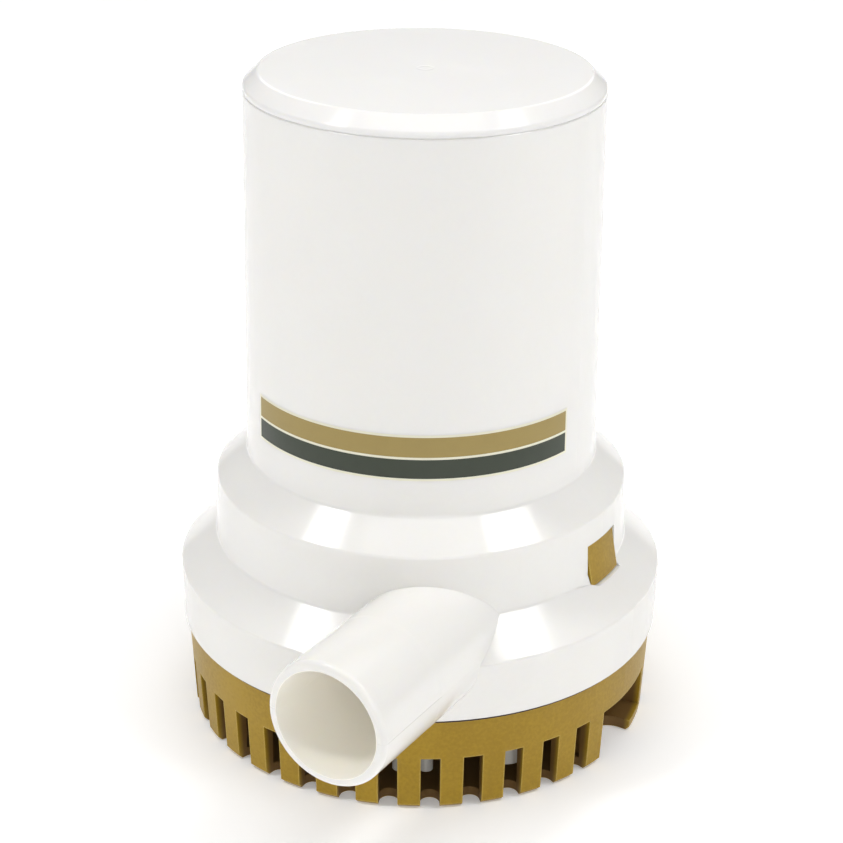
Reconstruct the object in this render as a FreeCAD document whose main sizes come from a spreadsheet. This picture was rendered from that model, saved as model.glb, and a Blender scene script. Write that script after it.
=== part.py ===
"""Submersible bilge pump: a motor and impeller in one moulded housing, clipped into a slotted base.

The base stands on z = 0 and the pump's shaft runs along Z. The outlet spigot points along -Y and the
two latches lie on the X axis. Sizes are millimetres and angles are degrees.
"""
import FreeCAD
import Part
import Sketcher
import os

SIZES = {
    # strainer base
    "base_radius_low": 54.1,
    "base_radius_high": 55.2,
    "base_wall": 2.4,
    "floor_thickness": 2.2,
    "foot_chamfer": 1.0,
    "shadow_gap": 0.7,
    "lip_wall": 1.6,
    "lip_rise": 3.25,
    "lip_clearance": 0.3,
    "wall_draft": 0.1,
    "slot_width": 4.35,
    "slot_top": 13.3,
    "slot_depth": 4.4,
    "slot_phase": 3.75,
    "pocket_width": 23.4,
    "pocket_reach": 45.6,
    "pocket_corner": 5.0,
    "pocket_wall": 3.6,
    "pocket_sill": 2.7,
    "pocket_notch": 20.6,
    "notch_turn": 3.5,
    "pocket_height": 14.0,
    "foot_screw_circle": 35.0,
    "foot_screw_hole": 2.4,
    # latch arms
    "latch_thickness": 2.4,
    "latch_width": 12.4,
    "latch_reach": 43.8,
    "latch_bead": 1.2,
    "latch_recess": 0.2,
    "latch_wedge": 1.8,
    "latch_gap": 0.35,
    "running_gap": 0.05,
    # housing shell
    "seat_height": 23.75,
    "skirt_radius_low": 56.0,
    "skirt_radius_high": 56.4,
    "skirt_top": 37.15,
    "tier_radius_low": 48.0,
    "tier_radius_high": 47.4,
    "tier_bottom": 44.5,
    "tier_top": 59.05,
    "can_radius_low": 40.4,
    "can_radius_high": 39.4,
    "can_bottom": 65.3,
    "can_top": 149.1,
    "shell_wall": 2.5,
    "edge_round": 0.8,
    "window_side": 0.3,
    "window_bottom": 42.95,
    "window_top": 53.1,
    # cap
    "cap_rim": 1.2,
    "cap_slope_rise": 3.0,
    "cap_slope_inset": 3.2,
    "cap_spigot": 6.0,
    "cap_clearance": 0.1,
    "parting_chamfer": 0.25,
    # volute and outlet
    "bulkhead_bottom": 54.6,
    "bulkhead_thickness": 2.8,
    "chamber_top": 50.5,
    "chamber_radius": 34.9,
    "chamber_offset": 2.6,
    "volute_wall": 2.4,
    "well_radius": 31.0,
    "spigot_radius": 14.29,
    "spigot_bore": 12.2,
    "spigot_offset": 25.0,
    "spigot_height": 38.1,
    "spigot_reach": 78.8,
    "spigot_lip": 1.3,
    "spigot_step": 0.04,
    "spigot_taper": 1.0,
    "hose_length": 20.0,
    # shaft seal
    "seal_radius": 8.0,
    "seal_height": 6.5,
    "seal_floor": 3.0,
    "seal_throat": 4.6,
    "shaft_radius": 3.0,
    "shaft_bottom": 26.5,
    "shaft_top": 137.5,
    "shaft_chamfer": 0.4,
    "press_gap": 0.02,
    "keeper_thickness": 1.0,
    "seal_body": 2.2,
    "lip_thickness": 0.9,
    "lip_heel": 2.0,
    "lip_crest": 3.2,
    "lip_top": 3.6,
    # intake plate
    "plate_thickness": 2.55,
    "plate_radius": 47.0,
    "plate_flat": 41.3,
    "plate_notch": 30.0,
    "eye_radius": 14.5,
    "eye_wall": 2.0,
    "eye_drop": 8.0,
    "post_radius": 4.2,
    "post_circle": 44.0,
    "post_angle": 57.7,
    "post_bottom": 4.8,
    "rib_radius": 1.6,
    "rib_length": 3.6,
    "screw_radius": 1.45,
    "screw_head": 2.5,
    "screw_head_height": 2.0,
    "screw_length": 11.0,
    "screw_tip_room": 1.0,
    "screw_socket": 1.3,
    "screw_seat": 19.2,
    "boss_top": 43.0,
    # impeller
    "impeller_radius": 28.0,
    "impeller_bottom": 26.8,
    "vane_height": 14.0,
    "vane_thickness": 1.6,
    "vane_bow": 16.8,
    "shroud_thickness": 1.8,
    "hub_radius": 6.0,
    "hub_top": 46.0,
    "hub_nose_gap": 1.0,
    "hub_nose_inset": 1.0,
    "hub_nose_height": 3.0,
    "hub_flare": 1.0,
    # motor
    "motor_radius": 27.0,
    "yoke_wall": 2.4,
    "yoke_round": 1.2,
    "motor_bottom": 60.0,
    "motor_top": 128.0,
    "end_plate": 3.5,
    "bearing_radius": 6.0,
    "bearing_length": 7.0,
    "bearing_boss": 8.0,
    "bearing_step": 1.0,
    "boss_flare": 1.0,
    "shaft_room": 1.0,
    "washer_thickness": 0.8,
    "washer_inset": 0.5,
    "end_play": 0.1,
    "magnet_thickness": 3.8,
    "magnet_length": 44.0,
    "magnet_sweep": 130.0,
    "air_gap": 0.6,
    "core_bottom": 70.0,
    "core_length": 40.0,
    "core_slot_width": 4.0,
    "core_slot_depth": 8.0,
    "coil_overhang": 6.0,
    "coil_clearance": 0.2,
    "coil_recess": 1.5,
    "coil_inset": 2.0,
    "turn_shoulder": 0.6,
    "turn_slope": 2.5,
    "commutator_radius": 8.0,
    "commutator_length": 9.0,
    "riser": 1.0,
    "bar_gap": 0.5,
    "bar_gap_depth": 1.0,
    "brush_width": 6.2,
    "brush_height": 5.2,
    "brush_length": 8.5,
    "brush_clearance": 0.1,
    "brush_rise": 0.4,
    "holder_gap": 1.6,
    "holder_wall": 0.8,
    "holder_room": 4.6,
    "spring_wire": 0.35,
    "spring_radius": 2.0,
    "spring_turns": 5.0,
    "ring_height": 8.0,
    "ring_clearance": 0.2,
    "ring_rise": 6.0,
    "tab_width": 6.3,
    "tab_height": 8.0,
    "tab_thickness": 0.8,
    "tab_offset": 18.0,
    # lead gland
    "gland_radius": 6.0,
    "gland_collar": 7.5,
    "gland_height": 76.0,
    "gland_reach": 8.0,
    "gland_collar_thickness": 2.0,
    "gland_boss_rise": 1.0,
    "gland_taper": 1.0,
    "lead_hole": 1.5,
    "lead_spacing": 5.0,
}

SLOT_COUNT = 36
POCKET_SLOTS = (8, 9, 10, 26, 27, 28)
FOOT_SCREWS = 4
POSTS = 4
RIB_ANGLES = (25.5, 33.1, 205.5, 213.1)
VANES = 6
VANE_ARC = 115
VANE_START = 185
CORE_TEETH = 9
FULL_TURN = 360
OVERRUN = "4"
MARGIN = "1"

doc = FreeCAD.newDocument("BilgePump")
sheet = doc.addObject("Spreadsheet::Sheet", "Sizes")
for row, (alias, size) in enumerate(SIZES.items(), start=1):
    sheet.set(f"A{row}", str(size))
    sheet.setAlias(f"A{row}", alias)
doc.recompute()

sub_parts = []


# ---------------------------------------------------------------- helpers
def size_of(expression):
    """Return the number that an expression over the sheet gives."""
    found = sheet.evalExpression(expression)
    return float(getattr(found, "Value", found))


def bind(item, **expressions):
    """Bind properties of an object to expressions over the sheet."""
    for name, expression in expressions.items():
        item.setExpression(name, expression)
    return item


def place(item, x="0", y="0", z="0", axis=(0, 0, 1), angle=0):
    """Turn an object by a fixed angle and bind its position to three expressions."""
    item.Placement.Rotation = FreeCAD.Rotation(FreeCAD.Vector(*axis), angle)
    for name, expression in (("x", x), ("y", y), ("z", z)):
        item.setExpression(f"Placement.Base.{name}", expression)
    return item


def keep(item, label):
    """Keep an object as a sub-part of the pump under its own label."""
    item.Label = label
    sub_parts.append(item)
    return item


def lathe(name, corners):
    """Turn a closed outline of (radius, height) expressions about Z, as a body."""
    body = doc.addObject("PartDesign::Body", name)
    sketch = body.newObject("Sketcher::SketchObject", name + "_outline")
    plane = next(f for f in body.Origin.OriginFeatures if f.Role == "XZ_Plane")
    sketch.AttachmentSupport = [(plane, "")]
    sketch.MapMode = "FlatFace"
    points = [FreeCAD.Vector(size_of(r), size_of(z), 0) for r, z in corners]
    for start, end in zip(points, points[1:] + points[:1]):
        sketch.addGeometry(Part.LineSegment(start, end), False)
    count = len(corners)
    for line in range(count):
        previous = (line - 1) % count
        sketch.addConstraint(Sketcher.Constraint("Coincident", previous, 2, line, 1))
    for line, (r, z) in enumerate(corners):
        for kind, expression, axis in (("DistanceX", r, -2), ("DistanceY", z, -1)):
            if expression == "0":
                sketch.addConstraint(Sketcher.Constraint("PointOnObject", line, 1, axis))
                continue
            distance = Sketcher.Constraint(kind, -1, 1, line, 1, size_of(expression))
            index = sketch.addConstraint(distance)
            sketch.setExpression(f"Constraints[{index}]", expression)
    turned = body.newObject("PartDesign::Revolution", name + "_turned")
    turned.Profile = sketch
    turned.ReferenceAxis = (sketch, ["V_Axis"])
    turned.Angle = FULL_TURN
    doc.recompute()
    return body


def round_rims(body, radius, rims):
    """Fillet a turned body's circular edges that lie at the given (radius, height) expressions."""
    base = body.Tip
    wanted = [(size_of(r), size_of(z)) for r, z in rims]
    names = []
    for number, edge in enumerate(base.Shape.Edges, start=1):
        if edge.Curve.TypeId != "Part::GeomCircle":
            continue
        for r, z in wanted:
            if abs(edge.Curve.Radius - r) < 0.01 and abs(edge.Curve.Center.z - z) < 0.01:
                names.append(f"Edge{number}")
    fillet = body.newObject("PartDesign::Fillet", body.Name + "_rounds")
    fillet.Base = (base, names)
    fillet.Radius = size_of(radius)
    fillet.setExpression("Radius", radius)
    doc.recompute()
    return body


def cylinder(name, radius, height, **where):
    """Return a cylinder with bound radius, height and place."""
    item = doc.addObject("Part::Cylinder", name)
    bind(item, Radius=radius, Height=height)
    return place(item, **where)


def block(name, length, width, height, **where):
    """Return a box with bound sides and place; its place is that of its lowest corner."""
    item = doc.addObject("Part::Box", name)
    bind(item, Length=length, Width=width, Height=height)
    return place(item, **where)


def fuse(name, shapes):
    """Join shapes into one solid."""
    item = doc.addObject("Part::MultiFuse", name)
    item.Shapes = shapes
    return item


def cut(name, base, tool):
    """Cut one shape from another."""
    item = doc.addObject("Part::Cut", name)
    item.Base = base
    item.Tool = tool
    return item


def step_by_step(name, kind, base, others):
    """Join others to a base, or cut them from it, one after another."""
    for number, other in enumerate(others):
        item = doc.addObject(kind, f"{name}_{number}")
        item.Base = base
        item.Tool = other
        base = item
    return base


def common(name, shapes):
    """Keep what shapes share."""
    item = doc.addObject("Part::MultiCommon", name)
    item.Shapes = shapes
    return item


def group(name, shapes):
    """Hold separate solids in one sub-part."""
    item = doc.addObject("Part::Compound", name)
    item.Links = shapes
    return item


def turned_copy(name, source, angle):
    """Wrap one shape and turn the wrapper about the pump's axis."""
    item = doc.addObject("Part::Compound", name)
    item.Links = [source]
    item.Placement.Rotation = FreeCAD.Rotation(FreeCAD.Vector(0, 0, 1), angle)
    return item


def around(name, count, make):
    """Fuse what make(name, angle) returns at equal steps round the axis."""
    step = FULL_TURN / count
    return fuse(name, [make(f"{name}_{n}", n * step) for n in range(count)])


def across(radius, angle):
    """Return the x and y expressions of a point at a radius and an angle from -Y towards +X."""
    return f"({radius}) * sin({angle})", f"-({radius}) * cos({angle})"


# ---------------------------------------------------------------- shared heights and radii
STRAINER_TOP = "Sizes.seat_height - Sizes.shadow_gap"
SKIRT_INSIDE = "Sizes.skirt_radius_low - Sizes.shell_wall"
LIP_RADIUS = "Sizes.skirt_radius_low - Sizes.shell_wall - Sizes.lip_clearance"
LIP_TOP = "Sizes.seat_height + Sizes.lip_rise"
LOW_MITRE = (
    "Sizes.shell_wall * tan(atan((Sizes.skirt_radius_high - Sizes.tier_radius_low)"
    " / (Sizes.tier_bottom - Sizes.skirt_top)) / 2)"
)
HIGH_MITRE = (
    "Sizes.shell_wall * tan(atan((Sizes.tier_radius_high - Sizes.can_radius_low)"
    " / (Sizes.can_bottom - Sizes.tier_top)) / 2)"
)
SPIGOT_ROOT = "Sizes.spigot_radius + Sizes.spigot_step"
BULKHEAD_TOP = "Sizes.bulkhead_bottom + Sizes.bulkhead_thickness"
WELL_FLOOR = "Sizes.chamber_top + Sizes.bulkhead_thickness"
SEAL_BOTTOM = "Sizes.chamber_top"
SEAL_TOP = "Sizes.chamber_top + Sizes.seal_height"
YOKE_INSIDE = "Sizes.motor_radius - Sizes.yoke_wall"
HOLDER_REACH = "Sizes.motor_radius - Sizes.holder_room"
MAGNET_INSIDE = "Sizes.motor_radius - Sizes.yoke_wall - Sizes.press_gap - Sizes.magnet_thickness"
CORE_RADIUS = MAGNET_INSIDE + " - Sizes.air_gap"
CORE_TOP = "Sizes.core_bottom + Sizes.core_length"
RUNNING_BORE = "Sizes.shaft_radius + Sizes.running_gap"
PRESSED_BORE = "Sizes.shaft_radius + Sizes.press_gap"
PLATE_BOTTOM = "Sizes.seat_height - Sizes.plate_thickness"
WASHER_HEIGHT = "Sizes.washer_thickness - 2 * Sizes.end_play"
COMMUTATOR_BOTTOM = "Sizes.motor_top - Sizes.commutator_length - Sizes.washer_thickness"


# ---------------------------------------------------------------- strainer base
def slot_cutter(name, number):
    """Cut one drain slot through the wall and, with a round end, into the floor's edge."""
    angle = f"Sizes.slot_phase + {number * FULL_TURN / SLOT_COUNT}"
    turn = number * FULL_TURN / SLOT_COUNT + size_of("Sizes.slot_phase") - 90
    depth = "Sizes.base_radius_low - Sizes.slot_depth + Sizes.slot_width / 2"
    height = "Sizes.slot_top + " + OVERRUN
    x, y = across(depth, angle)
    end = cylinder(name + "_end", "Sizes.slot_width / 2", height, x=x, y=y, z="-" + OVERRUN)
    run = block(
        name + "_run", "Sizes.slot_depth + " + OVERRUN, "Sizes.slot_width", height,
        x=f"({depth}) * sin({angle}) + Sizes.slot_width / 2 * sin({angle} - 90)",
        y=f"-({depth}) * cos({angle}) - Sizes.slot_width / 2 * cos({angle} - 90)",
        z="-" + OVERRUN, angle=turn,
    )
    return [end, run]


def pocket(name, inner, half_width, corner, bottom, top, reach):
    """Return the rounded block of a latch pocket on the +X side."""
    tall = f"{top} - ({bottom})"
    deep = block(
        name + "_deep", f"{reach} - ({inner})", f"2 * ({half_width}) - 2 * ({corner})", tall,
        x=inner, y=f"({corner}) - ({half_width})", z=bottom,
    )
    wide = block(
        name + "_wide", f"{reach} - ({inner}) - ({corner})", f"2 * ({half_width})", tall,
        x=f"({inner}) + ({corner})", y=f"-({half_width})", z=bottom,
    )
    corners = [
        cylinder(
            f"{name}_corner_{side}", corner, tall,
            x=f"({inner}) + ({corner})", y=f"{sign} * (({half_width}) - ({corner}))", z=bottom,
        )
        for side, sign in (("left", 1), ("right", -1))
    ]
    return fuse(name, [deep, wide] + corners)


def make_strainer():
    """Make the slotted base: floor, fins, lip, latch pockets and screw holes."""
    inside_low = "Sizes.base_radius_low - Sizes.base_wall"
    inside_high = "Sizes.base_radius_high - Sizes.base_wall"
    walls_inside = cylinder("PocketLimit", inside_low + " + Sizes.base_wall / 2", STRAINER_TOP)
    cup = lathe("Cup", [
        ("0", "0"),
        ("Sizes.base_radius_low - Sizes.foot_chamfer", "0"),
        ("Sizes.base_radius_low", "Sizes.foot_chamfer"),
        ("Sizes.base_radius_high", STRAINER_TOP),
        (LIP_RADIUS, STRAINER_TOP),
        (LIP_RADIUS, LIP_TOP),
        (LIP_RADIUS + " - Sizes.lip_wall", LIP_TOP),
        (LIP_RADIUS + " - Sizes.lip_wall", f"({STRAINER_TOP}) - Sizes.base_wall"),
        (inside_low, "Sizes.floor_thickness"),
        ("0", "Sizes.floor_thickness"),
    ])
    half = "Sizes.pocket_width / 2"
    walls, openings = [], []
    for side, angle in (("right", 0), ("left", 180)):
        turn = angle + size_of("Sizes.slot_phase")
        wall = pocket(
            "PocketWall_" + side, "Sizes.pocket_reach - Sizes.pocket_wall",
            half + " + Sizes.base_wall", "Sizes.pocket_corner + Sizes.base_wall",
            "0", "Sizes.pocket_height", inside_low + " + Sizes.base_wall / 2",
        )
        walls.append(turned_copy("PocketWallTurned_" + side, wall, turn))
        reach = "Sizes.base_radius_high + " + OVERRUN
        window = pocket(
            "PocketWindow_" + side, "Sizes.pocket_reach", half, "Sizes.pocket_corner",
            "Sizes.pocket_sill", "Sizes.slot_top", reach,
        )
        well = pocket(
            "PocketWell_" + side, "Sizes.pocket_reach", half, "Sizes.pocket_corner",
            "-" + OVERRUN, "Sizes.slot_top", reach,
        )
        notch = pocket(
            "PocketNotch_" + side, "Sizes.pocket_reach", "Sizes.pocket_notch / 2",
            "Sizes.pocket_corner", "-" + OVERRUN, "Sizes.slot_top", reach,
        )
        floor_notch = common("PocketFloor_" + side, [
            turned_copy("PocketWellTurned_" + side, well, turn),
            turned_copy("PocketNotchTurned_" + side, notch, angle - size_of("Sizes.notch_turn")),
        ])
        openings += [turned_copy("PocketWindowTurned_" + side, window, turn), floor_notch]
        groove_radius = "Sizes.latch_bead + Sizes.running_gap"
        groove = cylinder(
            "LatchGroove_" + side, groove_radius, "Sizes.latch_width + 2 * Sizes.brush_clearance",
            x=f"{1 - angle // 90} * Sizes.latch_reach",
            y="Sizes.latch_width / 2 + Sizes.brush_clearance",
            z="Sizes.pocket_height", axis=(1, 0, 0), angle=90,
        )
        openings.append(groove)
    slots = []
    for number in range(SLOT_COUNT):
        if number not in POCKET_SLOTS:
            slots += slot_cutter(f"Slot_{number}", number)
    holes = []
    for number in range(FOOT_SCREWS):
        x, y = across("Sizes.foot_screw_circle", (number + 0.5) * FULL_TURN / FOOT_SCREWS)
        holes.append(cylinder(
            f"FootHole_{number}", "Sizes.foot_screw_hole", "Sizes.floor_thickness + 2 * " + OVERRUN,
            x=x, y=y, z="-" + OVERRUN,
        ))
    notch = block(
        "SpigotNotch", f"2 * ({SPIGOT_ROOT} + Sizes.lip_clearance)",
        "Sizes.skirt_radius_low", "Sizes.lip_rise + " + OVERRUN,
        x=f"Sizes.spigot_offset - ({SPIGOT_ROOT}) - Sizes.lip_clearance",
        y="-Sizes.skirt_radius_low", z=STRAINER_TOP,
    )
    walls = [common(wall.Name + "_trimmed", [wall, walls_inside]) for wall in walls]
    blank = fuse("StrainerBlank", [cup] + walls)
    tools = fuse("StrainerTools", slots + openings + holes + [notch])
    keep(cut("Strainer", blank, tools), "strainer_base")


def make_latch(side, sign):
    """Make one latch arm, with a round root in the base and a wedged hook in the window."""
    inner = "Sizes.latch_reach - Sizes.latch_thickness / 2"
    hook_high = "Sizes.tier_radius_high - Sizes.latch_recess"
    hook_low = hook_high + " + Sizes.latch_wedge"
    hook_bottom = "Sizes.window_bottom + Sizes.latch_gap"
    top = "Sizes.window_top - Sizes.latch_gap"
    arm = block(
        "Arm_" + side, "Sizes.latch_thickness", "Sizes.latch_width", f"{top} - Sizes.pocket_height",
        x=inner, y="-Sizes.latch_width / 2", z="Sizes.pocket_height",
    )
    hook = block(
        "Hook_" + side, f"{hook_low} - ({inner})", "Sizes.latch_width", f"{top} - ({hook_bottom})",
        x=inner, y="-Sizes.latch_width / 2", z=hook_bottom,
    )
    bead = cylinder(
        "Bead_" + side, "Sizes.latch_bead", "Sizes.latch_width",
        x="Sizes.latch_reach", y="Sizes.latch_width / 2", z="Sizes.pocket_height",
        axis=(1, 0, 0), angle=90,
    )
    envelope = lathe("Envelope_" + side, [
        ("0", "0"),
        (hook_low, "0"),
        (hook_low, hook_bottom),
        (hook_high, top),
        ("0", top),
    ])
    whole = common("LatchShape_" + side, [fuse("LatchBlank_" + side, [arm, hook, bead]), envelope])
    turned = turned_copy("Latch_" + side, whole, 0 if sign > 0 else FULL_TURN / 2)
    keep(turned, "latch_arm_" + side)


# ---------------------------------------------------------------- housing
def make_housing():
    """Make the white moulding: can, stepped skirt, bulkhead, volute and outlet spigot."""
    shell = lathe("Shell", [
        (SKIRT_INSIDE, "Sizes.seat_height"),
        ("Sizes.skirt_radius_low", "Sizes.seat_height"),
        ("Sizes.skirt_radius_high", "Sizes.skirt_top"),
        ("Sizes.tier_radius_low", "Sizes.tier_bottom"),
        ("Sizes.tier_radius_high", "Sizes.tier_top"),
        ("Sizes.can_radius_low", "Sizes.can_bottom"),
        ("Sizes.can_radius_high", "Sizes.can_top - Sizes.parting_chamfer"),
        ("Sizes.can_radius_high - Sizes.parting_chamfer", "Sizes.can_top"),
        ("Sizes.can_radius_high - Sizes.shell_wall", "Sizes.can_top"),
        ("Sizes.can_radius_low - Sizes.shell_wall", "Sizes.can_bottom - " + HIGH_MITRE),
        ("Sizes.tier_radius_high - Sizes.shell_wall", "Sizes.tier_top - " + HIGH_MITRE),
        ("Sizes.tier_radius_high - Sizes.shell_wall - Sizes.wall_draft", BULKHEAD_TOP),
        ("Sizes.well_radius", BULKHEAD_TOP),
        ("Sizes.well_radius", WELL_FLOOR),
        ("Sizes.seal_radius + Sizes.shell_wall", WELL_FLOOR),
        ("Sizes.seal_radius + Sizes.shell_wall", SEAL_TOP),
        ("Sizes.seal_radius", SEAL_TOP),
        ("Sizes.seal_radius", SEAL_BOTTOM),
        ("Sizes.seal_throat", SEAL_BOTTOM),
        ("Sizes.seal_throat", SEAL_BOTTOM + " - Sizes.seal_floor"),
        ("Sizes.seal_radius + Sizes.shell_wall", SEAL_BOTTOM + " - Sizes.seal_floor"),
        ("Sizes.seal_radius + Sizes.shell_wall", "Sizes.chamber_top"),
        ("Sizes.well_radius + Sizes.shell_wall", "Sizes.chamber_top"),
        ("Sizes.well_radius + Sizes.shell_wall", "Sizes.bulkhead_bottom"),
        ("Sizes.tier_radius_low - Sizes.shell_wall", "Sizes.bulkhead_bottom"),
        ("Sizes.tier_radius_low - Sizes.shell_wall", "Sizes.tier_bottom - " + LOW_MITRE),
        ("Sizes.skirt_radius_high - Sizes.shell_wall", "Sizes.skirt_top - " + LOW_MITRE),
        (SKIRT_INSIDE + " - Sizes.lip_wall", LIP_TOP),
        (SKIRT_INSIDE, LIP_TOP),
    ])
    round_rims(shell, "Sizes.edge_round", [
        ("Sizes.skirt_radius_high", "Sizes.skirt_top"),
        ("Sizes.tier_radius_low", "Sizes.tier_bottom"),
        ("Sizes.tier_radius_high", "Sizes.tier_top"),
        ("Sizes.can_radius_low", "Sizes.can_bottom"),
    ])
    volute_block = cylinder(
        "VoluteBlock", "Sizes.chamber_radius + Sizes.volute_wall",
        "Sizes.bulkhead_bottom - Sizes.seat_height", x="Sizes.chamber_offset", z="Sizes.seat_height",
    )
    volute_core = cylinder(
        "VoluteCore", "Sizes.well_radius + Sizes.shell_wall / 2", "Sizes.bulkhead_bottom",
    )
    volute = cut("Volute", volute_block, volute_core)
    chamber_block = cylinder(
        "ChamberBlock", "Sizes.chamber_radius", f"Sizes.chamber_top - Sizes.seat_height + {OVERRUN}",
        x="Sizes.chamber_offset", z=f"Sizes.seat_height - {OVERRUN}",
    )
    seal_boss = cylinder(
        "SealBoss", "Sizes.seal_radius + Sizes.shell_wall", "Sizes.seal_floor + " + OVERRUN,
        z=SEAL_BOTTOM + " - Sizes.seal_floor",
    )
    chamber = cut("Chamber", chamber_block, seal_boss)
    hose_seat = "Sizes.spigot_reach - Sizes.spigot_lip - Sizes.hose_length"
    spigot = lathe("Spigot", [
        ("0", "0"),
        (SPIGOT_ROOT, "0"),
        (SPIGOT_ROOT, f"{hose_seat} - Sizes.spigot_taper"),
        ("Sizes.spigot_radius", hose_seat),
        ("Sizes.spigot_radius", "Sizes.spigot_reach"),
        ("0", "Sizes.spigot_reach"),
    ])
    round_rims(spigot, "Sizes.spigot_lip", [("Sizes.spigot_radius", "Sizes.spigot_reach")])
    place(spigot, x="Sizes.spigot_offset", z="Sizes.spigot_height", axis=(1, 0, 0), angle=90)
    bore = cylinder(
        "SpigotBore", "Sizes.spigot_bore", "Sizes.spigot_reach + " + OVERRUN,
        x="Sizes.spigot_offset", z="Sizes.spigot_height", axis=(1, 0, 0), angle=90,
    )
    bosses, holes = [], []
    for number in range(POSTS):
        x, y = across("Sizes.post_circle", f"Sizes.post_angle + {number * FULL_TURN / POSTS}")
        bosses.append(cylinder(
            f"Boss_{number}", "Sizes.post_radius", "Sizes.boss_top - Sizes.seat_height",
            x=x, y=y, z="Sizes.seat_height",
        ))
        holes.append(cylinder(
            f"BossHole_{number}", "Sizes.screw_radius + Sizes.running_gap",
            "Sizes.screw_length + Sizes.screw_tip_room + " + OVERRUN,
            x=x, y=y, z="Sizes.screw_seat - " + OVERRUN,
        ))
    width = "Sizes.latch_width + 2 * Sizes.window_side"
    windows = block(
        "Windows", "2 * Sizes.tier_radius_low + 2 * " + OVERRUN, width,
        "Sizes.window_top - Sizes.window_bottom",
        x="-Sizes.tier_radius_low - " + OVERRUN, y=f"-({width}) / 2",
        z="Sizes.window_bottom",
    )
    core = cylinder(
        "WindowCore", f"Sizes.tier_radius_high - Sizes.shell_wall - {MARGIN}", "Sizes.can_top",
    )
    windows = cut("WindowCut", windows, core)
    collar = cylinder(
        "GlandBoss", "Sizes.gland_collar", "Sizes.can_radius_low + Sizes.gland_boss_rise",
        z="Sizes.gland_height", axis=(1, 0, 0), angle=-90,
    )
    collar_core = cylinder(
        "GlandBossCore", "Sizes.can_radius_low - Sizes.shell_wall / 2", "Sizes.can_top",
    )
    collar = cut("GlandCollar", collar, collar_core)
    gland_hole = cylinder(
        "GlandHole", "Sizes.gland_radius + Sizes.press_gap", "Sizes.can_radius_low + 2 * " + OVERRUN,
        z="Sizes.gland_height", axis=(1, 0, 0), angle=-90,
    )
    solid = step_by_step("HousingSolid", "Part::Fuse", shell, [volute, spigot, collar] + bosses)
    tools = [chamber, bore, windows, gland_hole] + holes
    keep(step_by_step("Housing", "Part::Cut", solid, tools), "pump_housing")


def make_cap():
    """Make the cap that is welded on the can, with its sloping rim and a spigot inside."""
    rim = "Sizes.can_top + Sizes.cap_rim"
    top = "Sizes.can_top + Sizes.cap_rim + Sizes.cap_slope_rise"
    spigot_radius = "Sizes.can_radius_high - Sizes.shell_wall - Sizes.cap_clearance"
    cap = lathe("Cap", [
        ("0", top),
        ("Sizes.can_radius_high - Sizes.cap_slope_inset", top),
        ("Sizes.can_radius_high", rim),
        ("Sizes.can_radius_high", "Sizes.can_top + Sizes.parting_chamfer"),
        ("Sizes.can_radius_high - Sizes.parting_chamfer", "Sizes.can_top"),
        (spigot_radius, "Sizes.can_top"),
        (spigot_radius, "Sizes.can_top - Sizes.cap_spigot"),
        (spigot_radius + " - Sizes.shell_wall", "Sizes.can_top - Sizes.cap_spigot"),
        (spigot_radius + " - Sizes.shell_wall", top + " - Sizes.shell_wall"),
        ("0", top + " - Sizes.shell_wall"),
    ])
    round_rims(cap, "Sizes.edge_round", [
        ("Sizes.can_radius_high - Sizes.cap_slope_inset", top),
        ("Sizes.can_radius_high", rim),
    ])
    keep(cap, "top_cap")


def make_gland():
    """Make the rubber gland that carries the two leads through the can's wall."""
    inner = "Sizes.can_radius_low - 2 * Sizes.shell_wall"
    outer = "Sizes.can_radius_low + Sizes.gland_reach"
    seat = "Sizes.can_radius_low + Sizes.gland_boss_rise"
    plug = lathe("GlandPlug", [
        ("0", inner),
        ("Sizes.gland_radius", inner),
        ("Sizes.gland_radius", seat),
        ("Sizes.gland_collar", seat),
        ("Sizes.gland_collar", seat + " + Sizes.gland_collar_thickness"),
        ("Sizes.gland_radius - Sizes.gland_taper", outer),
        ("0", outer),
    ])
    place(plug, z="Sizes.gland_height", axis=(1, 0, 0), angle=-90)
    holes = [
        cylinder(
            "LeadHole_" + side, "Sizes.lead_hole", f"{outer} - ({inner}) + 2 * {MARGIN}",
            x=f"{sign} * Sizes.lead_spacing / 2", y=f"{inner} - {MARGIN}", z="Sizes.gland_height",
            axis=(1, 0, 0), angle=-90,
        )
        for side, sign in (("left", -1), ("right", 1))
    ]
    keep(cut("Gland", plug, fuse("LeadHoles", holes)), "lead_gland")


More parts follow.
